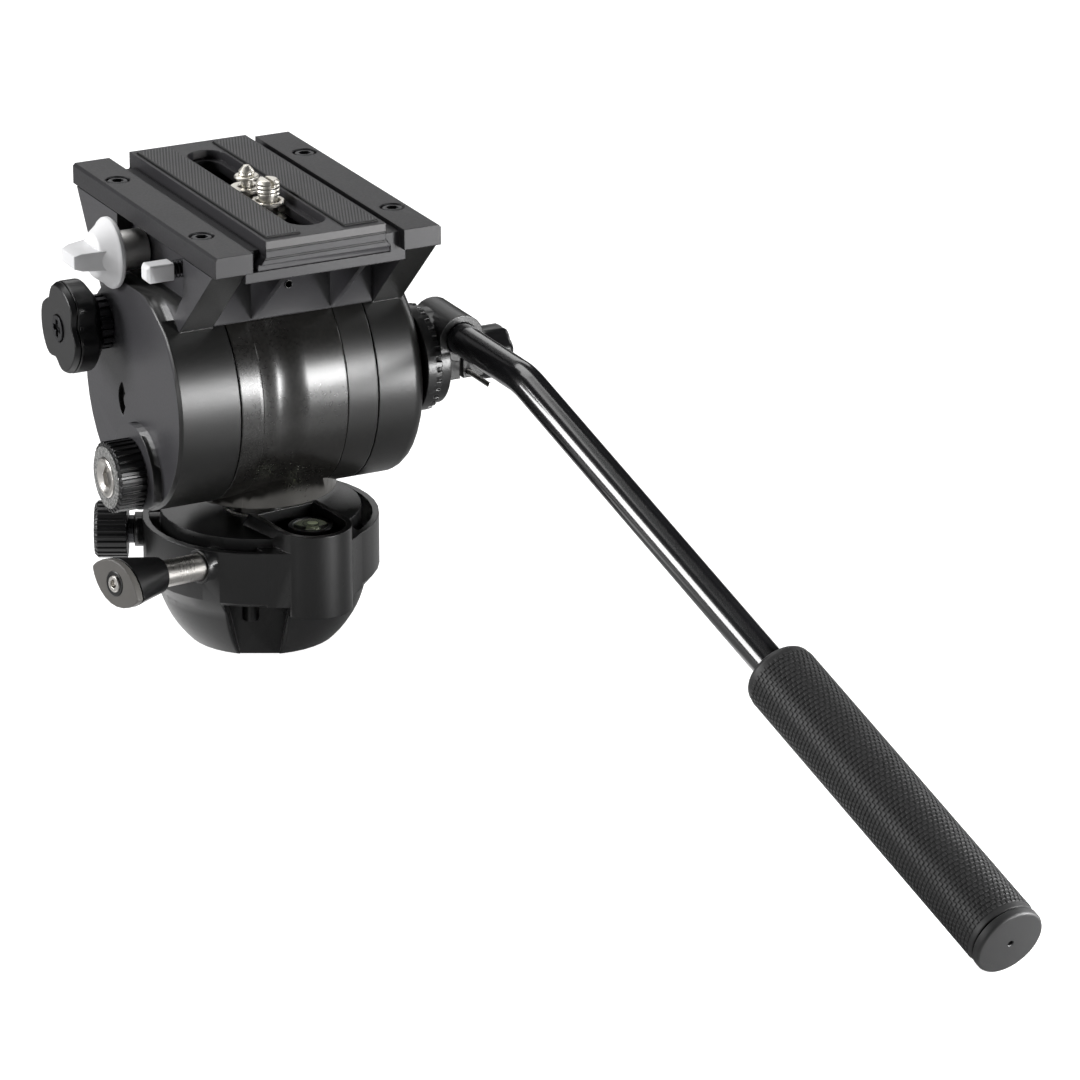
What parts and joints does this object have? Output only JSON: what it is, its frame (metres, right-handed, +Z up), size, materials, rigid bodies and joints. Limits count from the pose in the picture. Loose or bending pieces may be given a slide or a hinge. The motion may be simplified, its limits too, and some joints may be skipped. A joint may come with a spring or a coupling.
{
  "type": "fluid video head",
  "caption": "Half-ball fluid video head with a pan and tilt drum, sliding camera plate, side clamp, levelling bubble, knobs and one bent pan bar with a rubber grip.",
  "frame": {"origin": "centre of the half ball's flat underside, on the pan axis", "axes": "+Z up along the pan axis, +Y where the lens looks, +X the operator's right; the tilt axis is parallel to X"},
  "size_m": [0.198, 0.4765, 0.1967],
  "materials": {
    "black_casting": "satin black painted casting",
    "black_plastic": "satin",
    "black_rubber": "matt, textured",
    "black_gloss": "gloss black anodised tube",
    "white_plastic": "satin white",
    "grey_plastic": "satin grey",
    "bright_steel": "turned, bright",
    "dark_steel": "blackened",
    "level_glass": "clear over pale liquid"
  },
  "bodies": {
    "base": {"base_casting": "black_casting", "pan_spindle": "bright_steel", "thread_bush": "bright_steel", "spindle_nut": "bright_steel", "lower_bearing_race": "bright_steel", "level_cup": "black_plastic", "level_glass": "level_glass", "pan_lock_sleeve": "bright_steel"},
    "pan_drag": {"pan_drag_knob": "black_plastic", "pan_drag_stem": "dark_steel"},
    "pan_lock": {"pan_lock_wing": "black_plastic", "pan_lock_face": "grey_plastic", "pan_lock_screw": "bright_steel"},
    "pan_head": {"neck_and_drum": "black_casting", "drum_end_ring": "black_casting", "tilt_axle": "bright_steel", "upper_bearing_race": "bright_steel", "tilt_drag_disc_1": "dark_steel", "tilt_drag_disc_2": "dark_steel", "counterbalance_spring": "bright_steel"},
    "tilt_head": {"left_cap": "black_casting", "left_bush": "bright_steel", "right_cap": "black_casting", "right_bush": "bright_steel", "platform": "black_casting", "rail_screw_1": "dark_steel", "rail_screw_2": "dark_steel", "rail_screw_3": "dark_steel", "rail_screw_4": "dark_steel", "button_spring": "bright_steel", "bar_rosette": "black_casting", "bracket_stud": "bright_steel", "stud_nut": "bright_steel"},
    "plate": {"camera_plate": "black_casting", "left_pad": "black_rubber", "right_pad": "black_rubber"},
    "small_camera_slide": {"small_camera_washer": "bright_steel"},
    "small_camera_turn": {"small_camera_screw": "bright_steel"},
    "large_camera_slide": {"large_camera_washer": "bright_steel"},
    "large_camera_turn": {"large_camera_screw": "bright_steel"},
    "clamp_jaw_slide": {"clamp_jaw": "black_casting"},
    "clamp_knob_turn": {"clamp_shaft": "bright_steel", "clamp_knob": "white_plastic"},
    "release_slide": {"release_button": "white_plastic", "release_stem": "bright_steel"},
    "tilt_lock_turn": {"tilt_lock_ratchet": "dark_steel", "tilt_lock_knob": "black_plastic", "tilt_lock_cover": "black_plastic", "tilt_lock_screw": "dark_steel"},
    "tilt_drag_turn": {"tilt_drag_knob": "black_plastic", "tilt_drag_bolt": "bright_steel"},
    "bar_swing": {"bar_bracket": "black_casting", "retaining_pin": "bright_steel"},
    "collar_knob_turn": {"collar_knob": "black_plastic", "collar_bolt": "bright_steel"},
    "bar_twist": {"pan_bar_tube": "black_gloss", "rubber_grip": "black_rubber", "grip_end_cap": "black_rubber"}
  },
  "joints": [
    {"name": "pan", "type": "hinge", "parent": "base", "child": "pan_head", "pos_m": [0, 0, 0.052], "axis": [0, 0, 1], "continuous": true},
    {"name": "tilt", "type": "hinge", "parent": "pan_head", "child": "tilt_head", "pos_m": [0, 0, 0.1064], "axis": [1, 0, 0], "range_deg": [-70, 75]},
    {"name": "pan_drag_turn", "type": "hinge", "parent": "base", "child": "pan_drag", "pos_m": [-0.0441, 0.02247, 0.0415], "axis": [-0.891, 0.454, 0], "range_deg": [-150, 150]},
    {"name": "pan_lock_turn", "type": "hinge", "parent": "base", "child": "pan_lock", "pos_m": [-0.0584, -0.03307, 0.04365], "axis": [-0.9623, -0.2578, 0.0872], "range_deg": [-45, 45]},
    {"name": "plate_slide", "type": "slide", "parent": "tilt_head", "child": "plate", "axis": [0, 1, 0], "range_m": [-0.025, 0.025]},
    {"name": "small_screw_slide", "type": "slide", "parent": "plate", "child": "small_camera_slide", "axis": [0, 1, 0], "range_m": [-0.001, 0.037]},
    {"name": "small_screw_turn", "type": "hinge", "parent": "small_camera_slide", "child": "small_camera_turn", "pos_m": [0, 0.008, 0.17], "axis": [0, 0, 1], "continuous": true},
    {"name": "large_screw_slide", "type": "slide", "parent": "plate", "child": "large_camera_slide", "axis": [0, 1, 0], "range_m": [-0.033, 0.001]},
    {"name": "large_screw_turn", "type": "hinge", "parent": "large_camera_slide", "child": "large_camera_turn", "pos_m": [0, -0.0117, 0.17], "axis": [0, 0, 1], "continuous": true},
    {"name": "clamp_knob", "type": "hinge", "parent": "tilt_head", "child": "clamp_knob_turn", "pos_m": [-0.0543, 0.0136, 0.16], "axis": [-1, 0, 0], "range_deg": [0, 90]},
    {"name": "clamp_jaw", "type": "slide", "parent": "tilt_head", "child": "clamp_jaw_slide", "axis": [-1, 0, 0], "range_m": [0, 0.0008]},
    {"name": "release_button", "type": "slide", "parent": "tilt_head", "child": "release_slide", "axis": [1, 0, 0], "range_m": [0, 0.0025], "stiffness_N_per_m": 600, "springref_m": -0.001, "deforming": ["button_spring"]},
    {"name": "tilt_lock", "type": "hinge", "parent": "tilt_head", "child": "tilt_lock_turn", "pos_m": [-0.0536, 0.026, 0.1282], "axis": [-1, 0, 0], "range_deg": [-120, 30]},
    {"name": "tilt_drag", "type": "hinge", "parent": "tilt_head", "child": "tilt_drag_turn", "pos_m": [-0.0572, -0.008, 0.077], "axis": [-1, 0, 0], "range_deg": [-150, 150]},
    {"name": "bar_bracket", "type": "hinge", "parent": "tilt_head", "child": "bar_swing", "pos_m": [0.051, -0.0254, 0.1122], "axis": [1, 0, 0], "range_deg": [-60, 60]},
    {"name": "collar_knob", "type": "hinge", "parent": "bar_swing", "child": "collar_knob_turn", "pos_m": [0.0672, -0.0362, 0.1136], "axis": [1, 0, 0], "range_deg": [-120, 60]},
    {"name": "bar_twist", "type": "hinge", "parent": "bar_swing", "child": "bar_twist", "pos_m": [0.0672, -0.043, 0.1232], "axis": [0, -1, 0], "range_deg": [-16.3, 160]}
  ],
  "couplings": [
    {"joint": "clamp_jaw", "follows": "clamp_knob", "m_per_rad": 0.0005093}
  ]
}
